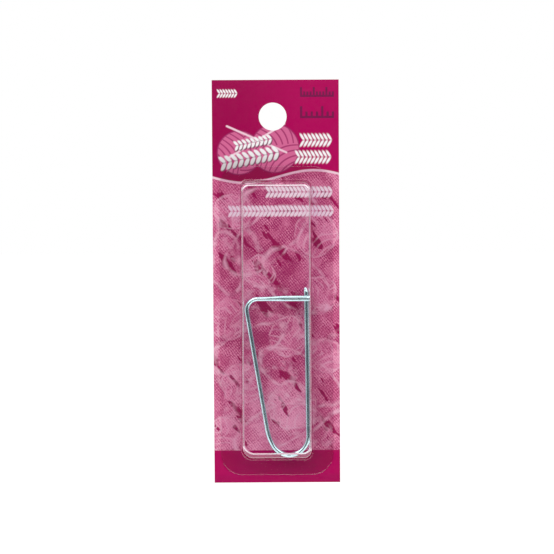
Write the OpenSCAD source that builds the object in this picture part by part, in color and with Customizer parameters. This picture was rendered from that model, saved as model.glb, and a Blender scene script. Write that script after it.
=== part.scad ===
// Carded stitch holder: a printed hang card, a clear blister sealed on it, and a bent wire holder inside.
// The holder is one length of wire, drawn as the stretches that its bends divide it into.
// The pack's face looks along -Y, +Z is up, and the origin is the hang hole's centre on the card's face.

/* [Card] */
// Width of the card
card_w = 36; // [34:0.5:60]
// Height of the card
card_h = 115; // [112:1:160]
// Thickness of the board
card_t = 0.5; // [0.3:0.05:1.2]
// Diameter of the hang hole
hole_d = 7.94; // [5:0.1:12]
// Height of the card's top edge above the hole's centre
hole_drop = 10.4; // [7:0.1:14]
// How far the hole lies to the left of the card's middle
hole_offset = 0.77; // [-3:0.01:3]

/* [Blister] */
// Thickness of the clear sheet
sheet_t = 0.3; // [0.2:0.05:0.5]
// Width of the bubble where it leaves the card
bubble_w = 20.75; // [19.5:0.25:24]
// Height of the bubble where it leaves the card
bubble_h = 79.4; // [60:0.2:84]
// Depth of the bubble in front of the card
bubble_depth = 6; // [5:0.1:10]
// Radius of the bubble's upper corners, seen from the front
bubble_top_r = 1.8; // [1:0.1:4]
// Radius of the bubble's lower corners, seen from the front
bubble_low_r = 3; // [1:0.1:4]
// How far each long side draws in towards the bubble's front
side_draft = 0.3; // [0:0.05:0.4]
// How far each short end draws in towards the bubble's front
end_draft = 0.8; // [0:0.05:1]
// Width of the rounding along the long front edges
side_round = 0.7; // [0.4:0.05:1.2]
// Width of the rounding along the short front edges
end_round = 1.6; // [0.5:0.05:2]
// Width of the sealed flange beside the bubble
seal_side = 5.7; // [3:0.1:6.4]
// Height of the sealed flange above and below the bubble
seal_end = 4.5; // [2:0.1:5]
// Corner radius of the flange
flange_r = 3; // [1:0.1:5]
// Height of the flange's lower edge above the card's lower edge
flange_lift = 2.2; // [0.5:0.1:6]

/* [Wire holder] */
// Diameter of the wire
wire_d = 1.35; // [1.1:0.05:1.6]
// Height of the cross bar's centre line above the loop's lowest centre line
holder_len = 44.6; // [38:0.1:50]
// Centre line radius of the shoulder
shoulder_r = 3.15; // [2:0.05:4]
// Centre line radius of the gentle curve below the spine
bow_r = 14.3; // [10:0.1:20]
// Lean of the wire where that curve runs into the loop, in degrees
bow_lean = 29; // [16:1:35]
// Centre line radius of the loop
loop_r = 5.4; // [4:0.1:5.6]
// How far the pin's foot stands outside the catch, so that the pin leans in to it
pin_set = 0.4; // [0:0.05:0.4]
// Height of the pin's tip above the cross bar's centre line
tip_rise = 3.3; // [2.6:0.1:5]
// Lean of the pin's tip towards the spine, in degrees
tip_lean = 8; // [0:1:12]
// Centre line radius of the bend below the tip
tip_bend_r = 6; // [4:0.5:10]
// Radius of the tip's rounded end
tip_r = 0.48; // [0.3:0.02:0.5]

/* [Catch] */
// Thickness of the wire where it is pressed flat for the catch
catch_t = 0.4; // [0.3:0.05:0.6]
// Height of the flattened wire at the catch, up from the bar's underside
catch_h = 1.65; // [1.4:0.05:2]
// Length of flattened wire in front of the pin, measured from the pin's centre
flat_len = 6.4; // [6:0.1:8]
// Length over which the round wire turns flat
taper_len = 2.4; // [1:0.1:3]
// Length of the lip behind the pin, measured from the pin's centre
lip_len = 1.1; // [0.6:0.05:1.6]

/* [Clearances] */
// Gap round the pin inside the catch
catch_gap = 0.08; // [0.05:0.01:0.12]
// Gap round the ball where the pin flexes on the loop
flex_gap = 0.05; // [0.03:0.01:0.08]
// Gap between the catch's lip and the card
lip_gap = 0.6; // [0.4:0.05:0.9]
// Gap between the loop and the bubble's floor
floor_gap = 0.2; // [0.2:0.05:0.5]
// Gap between the catch and the bubble's side
side_gap = 0.3; // [0.3:0.05:0.6]
// Gap between the shoulder and the bubble's other side, which sets how far the spine leans
shoulder_gap = 0.79388; // [0.3:0.00001:1.2]

/* [Hidden] */
$fn = 48;

// Overshoot of a cut past the face that it opens
cut = 1;
// Thickness of the slices that a hull is stretched between
slice = 0.02;
// How far the hull's round end stands outside the wire that runs into it
seam = 0.01;
// Facets across the rounding of the bubble's front edges
round_steps = 8;
// Share of the tip's height above the pin leg where its taper starts
tip_taper_start = 0.35;
// Points along the rounded end of the tip
tip_steps = 6;

// Card
mid_x = hole_offset;
card_top = hole_drop;
card_bottom = card_top - card_h;

// Blister
flange_w = bubble_w + 2 * seal_side;
flange_h = bubble_h + 2 * seal_end;
flange_mid_z = card_bottom + flange_lift + flange_h / 2;
bubble_floor_z = flange_mid_z - bubble_h / 2;
bubble_side_x = mid_x + bubble_w / 2;
round_y = (side_round + end_round) / 2;

// Catch and the depth of the wire in the bubble
wire_r = wire_d / 2;
hook_in_r = wire_r + catch_gap;
hook_mid_r = hook_in_r + catch_t / 2;
hook_out_r = hook_in_r + catch_t;
pin_y = -lip_gap - hook_out_r;
frame_y = pin_y - hook_mid_r;

// The bubble's walls lean inwards, so their place is taken at the depth of what lies next to them
wire_front = wire_r - frame_y;
floor_z = bubble_floor_z + sheet_t + end_draft * wire_front / bubble_depth;
side_x = bubble_side_x - sheet_t - side_draft * (hook_mid_r - pin_y) / bubble_depth;
other_side_x = mid_x - bubble_w / 2 + sheet_t + side_draft * wire_front / bubble_depth;

// Centre line of the wire, as [x, z] in the plane of the frame
pin_x = side_x - side_gap - hook_out_r;
foot_x = pin_x + pin_set;
loop_c = [foot_x - loop_r, floor_z + floor_gap + wire_r + loop_r];
bar_z = loop_c[1] - loop_r + holder_len;
bow_start = loop_c - loop_r * [cos(bow_lean), sin(bow_lean)];
bow_c = bow_start + bow_r * [cos(bow_lean), sin(bow_lean)];
shoulder_c = [other_side_x + shoulder_gap + wire_r + shoulder_r, bar_z - shoulder_r];
// The spine runs straight from the curve below it to the shoulder, so its lean from upright follows from both
centres = shoulder_c - bow_c;
spine_lean = atan(-centres[0] / centres[1]) - asin((bow_r - shoulder_r) / norm(centres));
spine_low = bow_c - bow_r * [cos(spine_lean), sin(spine_lean)];
spine_top = shoulder_c - shoulder_r * [cos(spine_lean), sin(spine_lean)];
spine_len = norm(spine_top - spine_low);

// Pin
flex_z = loop_c[1];
pin_rise = bar_z - flex_z;
pin_lean = atan((pin_y - frame_y) / pin_rise);
pin_lean_in = atan(pin_set / pin_rise);
catch_low_z = bar_z - wire_r;
leg_over_bar = catch_h - wire_r + catch_gap;
leg_len = (pin_rise + leg_over_bar) / cos(pin_lean);
tip_len = tip_rise - leg_over_bar - tip_bend_r * sin(tip_lean);

// A plate with rounded corners that stands in the X-Z plane, from y = 0 forwards
module standing_plate(w, h, top_r, low_r, t) {
    rotate([90, 0, 0]) linear_extrude(t) {
        translate([-w / 2, low_r - h / 2]) square([w, h - top_r - low_r]);
        for (end = [[1, top_r], [-1, low_r]]) {
            inset = h / 2 - end[1];
            translate([0, end[0] * (inset + end[1] / 2)]) square([w - 2 * end[1], end[1]], center = true);
            for (x = [-1, 1]) translate([x * (w / 2 - end[1]), end[0] * inset]) circle(end[1]);
        }
    }
}

// One side of the bubble's section as [across, y], from its foot behind the card's face to its flat front
function bubble_side(half, draft, round_w, wall) = [
    [half, wall],
    [half, -sheet_t],
    for (i = [0:round_steps]) [
        half - draft - round_w * (1 - cos(90 * i / round_steps)),
        wall - bubble_depth + round_y * (1 - sin(90 * i / round_steps))
    ]
];

// The bubble's section across its width or its height, drawn in by a wall
module bubble_section(across, draft, round_w, wall) {
    side = bubble_side(across / 2 - wall, draft, round_w, wall);
    last = len(side) - 1;
    polygon([for (p = side) p, for (i = [0:last]) [-side[last - i][0], side[last - i][1]]]);
}

// The bubble as a solid, drawn in from its outside by a wall
module bubble_form(wall) intersection() {
    linear_extrude(bubble_h, center = true) bubble_section(bubble_w, side_draft, side_round, wall);
    rotate([0, 90, 0]) linear_extrude(bubble_w, center = true)
        bubble_section(bubble_h, end_draft, end_round, wall);
    translate([0, wall, 0]) standing_plate(
        bubble_w - 2 * wall, bubble_h - 2 * wall, bubble_top_r - wall, bubble_low_r - wall,
        bubble_depth + wall
    );
}

// Places a drawing made in X-Y into the plane of the wire frame
module in_frame() translate([0, frame_y, 0]) rotate([90, 0, 0]) children();

// A bent stretch of wire about a centre, between two angles
module wire_bend(centre, r, from, to) {
    translate(centre) rotate(from) rotate_extrude(angle = to - from) translate([r, 0]) circle(wire_r);
}

// Places what is drawn up the Z axis along the pin, from the flexing point
module along_pin() translate([foot_x, frame_y, flex_z])
    rotate([0, -pin_lean_in, 0]) rotate([-pin_lean, 0, 0]) children();

module backing_card() color("mediumvioletred") difference() {
    translate([mid_x - card_w / 2, 0, card_bottom]) cube([card_w, card_t, card_h]);
    translate([0, -cut, 0]) rotate([-90, 0, 0]) cylinder(d = hole_d, h = card_t + 2 * cut);
}

module blister() color("aliceblue", 0.35) translate([mid_x, 0, flange_mid_z]) difference() {
    union() {
        standing_plate(flange_w, flange_h, flange_r, flange_r, sheet_t);
        bubble_form(0);
    }
    bubble_form(sheet_t);
}

module catch_hook() color("silver") translate([pin_x, pin_y, catch_low_z]) {
    translate([-flat_len, -hook_out_r, 0]) cube([flat_len, catch_t, catch_h]);
    rotate(-90) rotate_extrude(angle = 180) translate([hook_in_r, 0]) square([catch_t, catch_h]);
    translate([-lip_len, hook_in_r, 0]) cube([lip_len, catch_t, catch_h]);
}

module cross_bar() color("silver") {
    flat_x = pin_x - flat_len;
    round_end = flat_x - taper_len;
    translate([shoulder_c[0], frame_y, bar_z]) rotate([0, 90, 0])
        cylinder(r = wire_r, h = round_end - shoulder_c[0]);
    hull() {
        translate([round_end - slice, frame_y, bar_z]) rotate([0, 90, 0])
            cylinder(r = wire_r + seam, h = slice);
        translate([flat_x - slice, frame_y - catch_t / 2, catch_low_z]) cube([slice, catch_t, catch_h]);
    }
}

module shoulder_bend() color("silver") in_frame()
    wire_bend(shoulder_c, shoulder_r, 90, 180 + spine_lean);

module spine() color("silver") translate([spine_low[0], frame_y, spine_low[1]])
    rotate([0, -spine_lean, 0]) cylinder(r = wire_r, h = spine_len);

module lower_bend() color("silver") in_frame()
    wire_bend(bow_c, bow_r, 180 + spine_lean, 180 + bow_lean);

module spring_loop() color("silver") difference() {
    in_frame() wire_bend(loop_c, loop_r, 180 + bow_lean, 360);
    translate([foot_x, frame_y, flex_z]) sphere(wire_r + flex_gap);
}

module pin_leg() color("silver") along_pin() {
    sphere(wire_r);
    cylinder(r = wire_r, h = leg_len);
}

module pin_tip() color("silver") along_pin() translate([-tip_bend_r, 0, leg_len]) {
    end_z = tip_len - tip_r;
    rotate([90, 0, 0]) rotate_extrude(angle = tip_lean) translate([tip_bend_r, 0]) circle(wire_r);
    rotate([0, -tip_lean, 0]) translate([tip_bend_r, 0, 0]) rotate_extrude() polygon([
        [0, 0],
        [wire_r, 0],
        [wire_r, tip_len * tip_taper_start],
        for (i = [0:tip_steps]) [tip_r * cos(90 * i / tip_steps), end_z + tip_r * sin(90 * i / tip_steps)]
    ]);
}

backing_card();
blister();
catch_hook();
cross_bar();
shoulder_bend();
spine();
lower_bend();
spring_loop();
pin_leg();
pin_tip();
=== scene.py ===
"""Looks of a carded stitch holder: a printed hang card, a clear blister and a bent wire holder.

Lengths in the classes are millimetres, in the card's own frame: X to the right, Z up, the card's face
along -Y, and the origin at the hang hole's centre. Meshes are written in metres.
"""

import logging
from collections.abc import Callable
from dataclasses import dataclass, field, replace
from enum import Enum
from functools import reduce
from math import cos, pi, radians, sin

import bmesh
import bpy
from mathutils import Matrix, Vector


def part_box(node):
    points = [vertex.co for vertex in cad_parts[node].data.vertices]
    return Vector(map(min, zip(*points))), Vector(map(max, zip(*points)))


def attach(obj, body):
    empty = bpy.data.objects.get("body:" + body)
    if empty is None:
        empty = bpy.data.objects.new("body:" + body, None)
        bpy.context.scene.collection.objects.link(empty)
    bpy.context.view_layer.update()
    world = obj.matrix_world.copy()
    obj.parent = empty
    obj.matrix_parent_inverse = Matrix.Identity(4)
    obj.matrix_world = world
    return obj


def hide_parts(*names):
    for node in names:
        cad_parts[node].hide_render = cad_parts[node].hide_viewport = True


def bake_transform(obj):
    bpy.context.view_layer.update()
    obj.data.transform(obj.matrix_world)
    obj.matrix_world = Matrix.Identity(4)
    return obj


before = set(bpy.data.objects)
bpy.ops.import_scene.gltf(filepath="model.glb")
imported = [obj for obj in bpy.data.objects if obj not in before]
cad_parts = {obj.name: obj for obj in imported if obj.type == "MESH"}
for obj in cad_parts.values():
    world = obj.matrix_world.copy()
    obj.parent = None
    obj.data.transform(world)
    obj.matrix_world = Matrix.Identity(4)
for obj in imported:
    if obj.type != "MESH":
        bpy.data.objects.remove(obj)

LOG = logging.getLogger("stitch_holder")
MM = 0.001
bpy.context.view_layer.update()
# A ray whose count of turns is above the first has turned once or more, above the second twice or more
ONCE = 0.5
TWICE = 1.5
Mesh = bmesh.types.BMesh
Object = bpy.types.Object
Material = bpy.types.Material
Node = bpy.types.Node
Tree = bpy.types.NodeTree
Socket = bpy.types.NodeSocket


class Body(str, Enum):
    """The bodies that pieces ride on."""

    BLISTER = "blister"
    HOLDER = "holder_frame"
    PIN = "pin"


class Slot(str, Enum):
    """The record's material slots."""

    BOARD = "printed_board"
    SHEET = "clear_sheet"
    WIRE = "plated_wire"


def srgb(*screen: int) -> tuple[float, ...]:
    """Turns a screen's red, green and blue, from 0 to 255, into the linear colour that shaders take."""
    shares = [channel / 255 for channel in screen]
    return (*(c / 12.92 if c <= 0.04045 else ((c + 0.055) / 1.055) ** 2.4 for c in shares), 1.0)


def node_box(node: str) -> tuple[Vector, Vector]:
    """Reads a CAD node's lowest and highest corners in millimetres."""
    low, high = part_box(node)
    return low / MM, high / MM


def add_piece(name: str, mesh: Mesh, material: Material, smooth: bool = True) -> Object:
    """Turns a finished bmesh, drawn in millimetres, into an object in metres.

    Args:
        name: The piece's name.
        mesh: The finished bmesh, which is freed.
        material: The finish of the whole piece.
        smooth: Whether the faces are shaded smooth.

    Returns:
        The new object, at the origin.
    """
    bmesh.ops.scale(mesh, vec=(MM, MM, MM), verts=mesh.verts)
    for face in mesh.faces:
        face.smooth = smooth
    data = bpy.data.meshes.new(name)
    mesh.to_mesh(data)
    mesh.free()
    data.materials.append(material)
    piece = bpy.data.objects.new(name, data)
    bpy.context.scene.collection.objects.link(piece)
    return piece


def math_method(kind: str) -> Callable[["Value", object], "Value"]:
    """Makes the method that joins two values by one kind of Math node."""
    return lambda first, second: first.wiring.math(kind, first, second)


class Value:
    """A node's output, with which plain arithmetic goes on. A comparison is 1 where it holds, and else 0."""

    __add__, __sub__, __mul__ = math_method("ADD"), math_method("SUBTRACT"), math_method("MULTIPLY")
    __truediv__, __pow__ = math_method("DIVIDE"), math_method("POWER")
    __lt__, __gt__ = math_method("LESS_THAN"), math_method("GREATER_THAN")

    def __init__(self, wiring: "Wiring", socket: Socket) -> None:
        """Keeps the output and the tree that it is in."""
        self.wiring = wiring
        self.socket = socket

    def __abs__(self) -> "Value":
        """Drops its sign."""
        return self.wiring.math("ABSOLUTE", self)


@dataclass(frozen=True)
class Mottle:
    """A noise texture, and the range of its values that is spread over another range."""

    scale: float
    detail: float = 2.0
    roughness: float = 0.5
    taken: tuple[float, float] = (0.3, 0.7)
    given: tuple[float, float] = (0.0, 1.0)


class Wiring:
    """Adds nodes to one shader tree and joins them."""

    def __init__(self, tree: Tree) -> None:
        """Takes the tree of a material or of a node group."""
        self.tree = tree

    def add(self, kind: str, inputs: dict | None = None, **settings: object) -> Node:
        """Adds one node.

        Args:
            kind: The node's type name without its ShaderNode prefix.
            inputs: What its inputs get, by name or number.
            settings: The node's own properties.

        Returns:
            The new node.
        """
        node = self.tree.nodes.new("ShaderNode" + kind)
        for key, value in settings.items():
            setattr(node, key, value)
        for key, value in (inputs or {}).items():
            self.feed(node.inputs[key], value)
        return node

    def get(self, kind: str, inputs: dict | None = None, output: int | str = 0, **settings: object) -> Value:
        """Adds one node as add does, and takes one of its outputs."""
        return Value(self, self.add(kind, inputs, **settings).outputs[output])

    def feed(self, target: Socket, value: object) -> None:
        """Joins a value to an input, or sets the input to a plain number, vector or colour.

        Args:
            target: The input.
            value: What it gets.
        """
        source = value.socket if isinstance(value, Value) else value
        if isinstance(source, Socket):
            self.tree.links.new(source, target)
        else:
            target.default_value = source

    def math(self, operation: str, *values: object) -> Value:
        """Adds a Math node with its inputs in order."""
        return self.get("Math", dict(enumerate(values)), operation=operation)

    def highest(self, *values: object) -> Value:
        """Takes the highest of several values."""
        return reduce(lambda first, second: self.math("MAXIMUM", first, second), values)

    def length(self, across: Value, up: Value) -> Value:
        """Works out how far a place is from the centre."""
        return self.math("SQRT", across * across + up * up)

    def split(self, vector: object) -> list[Value]:
        """Splits a vector into its three parts."""
        return [Value(self, socket) for socket in self.add("SeparateXYZ", {0: vector}).outputs]

    def here(self) -> Value:
        """Reads the place on the piece, in metres."""
        return self.get("TexCoord", output="Object")

    def path(self, name: str) -> Value:
        """Reads what kind of ray is traced, or how often it has been scattered."""
        return self.get("LightPath", output=name)

    def between(self, share: object, first: object, second: object) -> Value:
        """Mixes two numbers."""
        return self.get("Mix", {0: share, 2: first, 3: second}, data_type="FLOAT")

    def blend(self, share: object, first: object, second: object, mode: str = "MIX") -> Value:
        """Mixes two colours by how much of the second one shows, from 0 to 1."""
        inputs = {0: share, 6: first, 7: second}
        return self.get("Mix", inputs, 2, data_type="RGBA", blend_type=mode, clamp_factor=True)

    def fade(self, value: object, start: object, end: object) -> Value:
        """Goes evenly from 0 where a value is start to 1 where it is end."""
        return self.get("MapRange", {"Value": value, "From Min": start, "From Max": end})

    def edge(self, distance: object, soft: object) -> Value:
        """Is 1 where a distance is below 0, and 0 where it is above, with a soft step between."""
        return self.fade(distance, soft, soft * -1.0)

    def ramp(self, value: object, start: float, end: float, low: float = 0.0, high: float = 1.0) -> Value:
        """Goes smoothly from low where a value is start to high where it is end, and is held beyond."""
        inputs = {"Value": value, "From Min": start, "From Max": end, "To Min": low, "To Max": high}
        return self.get("MapRange", inputs, interpolation_type="SMOOTHSTEP")

    def noise(self, place: object, scale: float, detail: float = 2.0, roughness: float = 0.5) -> Value:
        """Adds a noise texture, whose value is about 0.5 on average."""
        inputs = {"Vector": place, "Scale": scale, "Detail": detail, "Roughness": roughness}
        return self.get("TexNoise", inputs)

    def mottle(self, place: object, mottle: Mottle) -> Value:
        """Adds a noise texture with its range spread."""
        cloud = self.noise(place, mottle.scale, mottle.detail, mottle.roughness)
        return self.ramp(cloud, *mottle.taken, *mottle.given)


class MaterialTree(Wiring):
    """The tree of a new material, with its shader."""

    def __init__(self, name: str) -> None:
        """Makes the material.

        Args:
            name: Its name.
        """
        self.material = bpy.data.materials.new(name)
        self.material.use_nodes = True
        super().__init__(self.material.node_tree)
        self.shader = self.tree.nodes["Principled BSDF"]

    def set(self, inputs: dict[str, object]) -> None:
        """Sets or joins the shader's inputs, by name."""
        for label, value in inputs.items():
            self.feed(self.shader.inputs[label], value)

    def emboss(self, height: Value, strength: float, distance: float) -> None:
        """Gives the shader a bump, with its distance in metres."""
        inputs = {"Strength": strength, "Distance": distance, "Height": height}
        self.set({"Normal": self.get("Bump", inputs)})

    def show_mix(self, share: Value, first: object, second: object) -> None:
        """Lets the material show a mix of two shaders."""
        mix = self.get("MixShader", {0: share, 1: first, 2: second})
        self.feed(self.tree.nodes["Material Output"].inputs["Surface"], mix)


class ShapeMaker(Wiring):
    """Builds one shape of the print as a node group with named sockets.

    Its flat is the place from the shape's centre, in millimetres, and turned the same along the shape's own
    axes, whose parts are across and up. Its sizes are in the order in which they were named.
    """

    PLACE = ("X", "Z", "Centre X", "Centre Z", "Turn")

    def __init__(self, name: str, sizes: dict[str, float]) -> None:
        """Makes the group's inputs and moves the place to the shape's centre.

        Args:
            name: The group's name.
            sizes: The shape's sizes, with their defaults.
        """
        super().__init__(bpy.data.node_groups.new(name, "ShaderNodeTree"))
        labels = {**dict.fromkeys(self.PLACE, 0.0), **sizes}
        for label, default in labels.items():
            socket = self.tree.interface.new_socket(label, in_out="INPUT", socket_type="NodeSocketFloat")
            socket.default_value = default
        source = self.tree.nodes.new("NodeGroupInput").outputs
        x, z, centre_x, centre_z, turn, *self.sizes = [Value(self, source[label]) for label in labels]
        self.flat = self.get("CombineXYZ", {0: x - centre_x, 1: z - centre_z})
        inputs = {"Vector": self.flat, "Angle": turn}
        self.turned = self.get("VectorRotate", inputs, rotation_type="Z_AXIS", invert=True)
        self.across, self.up = self.split(self.turned)[:2]

    def finish(self, **results: Value) -> Tree:
        """Makes the group's outputs.

        Args:
            results: What they give, by name.

        Returns:
            The finished group.
        """
        for label in results:
            self.tree.interface.new_socket(label, in_out="OUTPUT", socket_type="NodeSocketFloat")
        target = self.tree.nodes.new("NodeGroupOutput").inputs
        for label, value in results.items():
            self.feed(target[label], value)
        return self.tree


def make_stitch_row() -> Tree:
    """Makes a braid of knitted stitches that lie on their side: two rows of leaves that meet in the middle.

    Returns:
        The group, whose Mask is 1 on the leaves.
    """
    sizes = {"Length": 10.0, "Height": 3.0, "Pitch": 1.2, "Fullness": 0.36, "Slope": 0.55, "Soft": 0.12}
    leaf_power = 2.4
    group = ShapeMaker("stitch_row", sizes)
    length, height, pitch, fullness, slope, soft = group.sizes
    slid = abs(group.up) * slope + group.across
    wide = (group.math("FRACT", (length * 0.5 + slid) / pitch) - 0.5) / fullness
    quarter = height * 0.25
    tall = (abs(group.up) - quarter) / quarter
    reach = (abs(wide) ** leaf_power + abs(tall) ** leaf_power) ** (1 / leaf_power)
    leaf = group.edge((reach - 1.0) * (pitch * fullness), soft)
    return group.finish(Mask=leaf * (abs(slid) < length * 0.5))


def make_oval() -> Tree:
    """Makes an oval line.

    Returns:
        The group, whose Mask is 1 on the line.
    """
    group = ShapeMaker("oval", {"Radius X": 5.0, "Radius Z": 5.0, "Line": 0.5, "Soft": 0.15})
    radius_x, radius_z, line, soft = group.sizes
    reach = group.length(group.across / radius_x, group.up / radius_z)
    distance = (reach - 1.0) * group.math("MINIMUM", radius_x, radius_z)
    return group.finish(Mask=group.edge(abs(distance) - line * 0.5, soft))


def make_yarn_ball() -> Tree:
    """Makes a ball of yarn: a disc wound with two bands of curved strands.

    Returns:
        The group: Strand is 1 in the grooves between strands, and Inside is 1 within the ball.
    """
    bulge, slope, sweep = 0.45, 0.35, -0.5
    seam_x, seam_z, seam_from = 0.9, -0.5, 0.12
    soft, line_core, whole_turns = 0.12, 0.4, 40.0
    group = ShapeMaker("yarn_ball", {"Radius": 5.0, "Strands": 5.0, "Line": 0.3})
    radius, strands, line = group.sizes
    unit_x, unit_z = group.across / radius, group.up / radius
    distance = (group.length(unit_x, unit_z) - 1.0) * radius
    inside = group.edge(distance, soft)
    first = (unit_x + unit_z * unit_z * bulge) * strands
    second = (unit_z + unit_x * slope + unit_x * unit_x * sweep) * strands
    in_second = unit_x * seam_x + unit_z * seam_z > seam_from
    turn = group.between(in_second, first, second)
    groove = abs(group.math("FRACT", turn + whole_turns) - 0.5) * (radius / strands)
    gap = group.fade(groove, line, line * line_core)
    rim = group.fade(abs(distance), line, line * line_core)
    return group.finish(Strand=group.highest(gap * inside, rim), Inside=inside)


def make_bar() -> Tree:
    """Makes a bar with rounded ends.

    Returns:
        The group, whose Mask is 1 on the bar.
    """
    group = ShapeMaker("round_bar", {"Length": 10.0, "Width": 1.0, "Soft": 0.12})
    length, width, soft = group.sizes
    past_end = group.highest(abs(group.across) - (length - width) * 0.5, 0.0)
    return group.finish(Mask=group.edge(group.length(past_end, group.up) - width * 0.5, soft))


def make_ruler() -> Tree:
    """Makes a ruler's edge: a line with short ticks that stand on it, and every fourth one long.

    Returns:
        The group, whose Mask is 1 on the ink.
    """
    short_share = 0.55
    group = ShapeMaker("ruler", {"Length": 9.0, "Height": 2.4, "Pitch": 0.9, "Line": 0.34})
    length, height, pitch, line = group.sizes
    above = group.up + height * 0.5
    along = group.across + length * 0.5
    on_tick = group.math("PINGPONG", along, pitch * 0.5) < line * 0.5
    long_tick = group.math("PINGPONG", along, pitch * 2.0) < pitch * 0.5
    reach = height * (long_tick * (1 - short_share) + short_share)
    ink = group.highest(on_tick * (above < reach), above < line)
    inside = abs(group.across) < length * 0.5 + line * 0.5
    return group.finish(Mask=ink * (above > 0.0) * inside)


def make_weave() -> Tree:
    """Makes a printed cloth: steep slanting threads that waver, fade in places and are crossed by others.

    Returns:
        The group, whose Mask is about 0.5 on average, more on the pale threads and less between them.
    """
    cross_pitch, cross_share = 0.83, 0.45
    thread_share, knot_share = 0.26, 1.6
    sway_cloud, knot_cloud = (0.7, 2.0), (3.2, 2.0, 0.6)
    worn = Mottle(0.55, 3.0, 0.65, (0.35, 0.6), (0.35, 1.0))
    group = ShapeMaker("cloth", {"Pitch": 0.6, "Waver": 0.5})
    pitch, waver = group.sizes
    sway = (group.noise(group.flat, *sway_cloud) - 0.5) * waver
    thread = group.math("SINE", (group.across / pitch + sway) * (2 * pi))
    crossing = group.math("SINE", group.up * (2 * pi / cross_pitch))
    shown = group.mottle(group.turned, worn)
    knot = group.noise(group.flat, *knot_cloud) - 0.5
    lit = (crossing * cross_share + thread) * shown * thread_share + knot * knot_share
    return group.finish(Mask=lit + 0.5)


@dataclass(frozen=True)
class Motif:
    """Where one shape of the print stands, with its sizes by socket name and its turn."""

    x: float
    z: float
    sizes: dict[str, float]
    turn: float = 0.0


class PrintFace(MaterialTree):
    """The board's material, with the place on the board in millimetres."""

    def __init__(self, name: str) -> None:
        """Makes the material and reads the place.

        Args:
            name: The material's name.
        """
        super().__init__(name)
        self.place = self.here()
        self.x, self.y, self.z = (part / MM for part in self.split(self.place))
        self.flat = self.get("CombineXYZ", {0: self.x, 1: self.z})

    def stamp(self, shape: Tree, *motifs: Motif, spot: tuple = (), output: str = "Mask") -> Value:
        """Prints a shape in one or more places.

        Args:
            shape: Its node group.
            motifs: Its places and sizes.
            spot: The X and Z to read it at, if not the face's own.
            output: The group's output to take.

        Returns:
            The highest of the outputs.
        """
        x, z = spot or (self.x, self.z)
        printed = []
        for motif in motifs:
            centre = {"Centre X": motif.x, "Centre Z": motif.z, "Turn": motif.turn}
            inputs = {"X": x, "Z": z, **centre, **motif.sizes}
            printed.append(self.get("Group", inputs, output, node_tree=shape))
        return self.highest(*printed)


@dataclass(frozen=True)
class Inks:
    """The card's printing inks, some with painted light and shade, and the colours of its board."""

    # The header's ink, with painted shade at the left and painted light at the right
    header_shaded_left: tuple = srgb(157, 4, 76)
    header_lit_right: tuple = srgb(177, 4, 88)
    field_pale: tuple = srgb(246, 170, 200)
    field_mid: tuple = srgb(215, 108, 150)
    field_deep: tuple = srgb(168, 40, 100)
    blotch: tuple = srgb(160, 4, 82)
    outline: tuple = srgb(246, 196, 216)
    # The footer's ink: painted shade in the middle and along the lower rim, redder towards the sides
    footer_shaded_mid: tuple = srgb(176, 3, 94)
    footer_edge: tuple = srgb(180, 4, 90)
    footer_shaded_low: tuple = srgb(170, 4, 86)
    emblem: tuple = srgb(214, 104, 150)
    emblem_shade: tuple = srgb(150, 30, 92)
    white: tuple = srgb(250, 246, 248)
    pale_pink: tuple = srgb(244, 206, 220)
    row_pink: tuple = srgb(255, 238, 245)
    row_foot: tuple = srgb(205, 200, 202)
    row_shade: tuple = srgb(112, 62, 84)
    dark: tuple = srgb(120, 24, 76)
    board: tuple = srgb(206, 200, 192)
    board_fleck: tuple = srgb(168, 160, 152)
    cut_edge: tuple = srgb(236, 226, 228)


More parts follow.
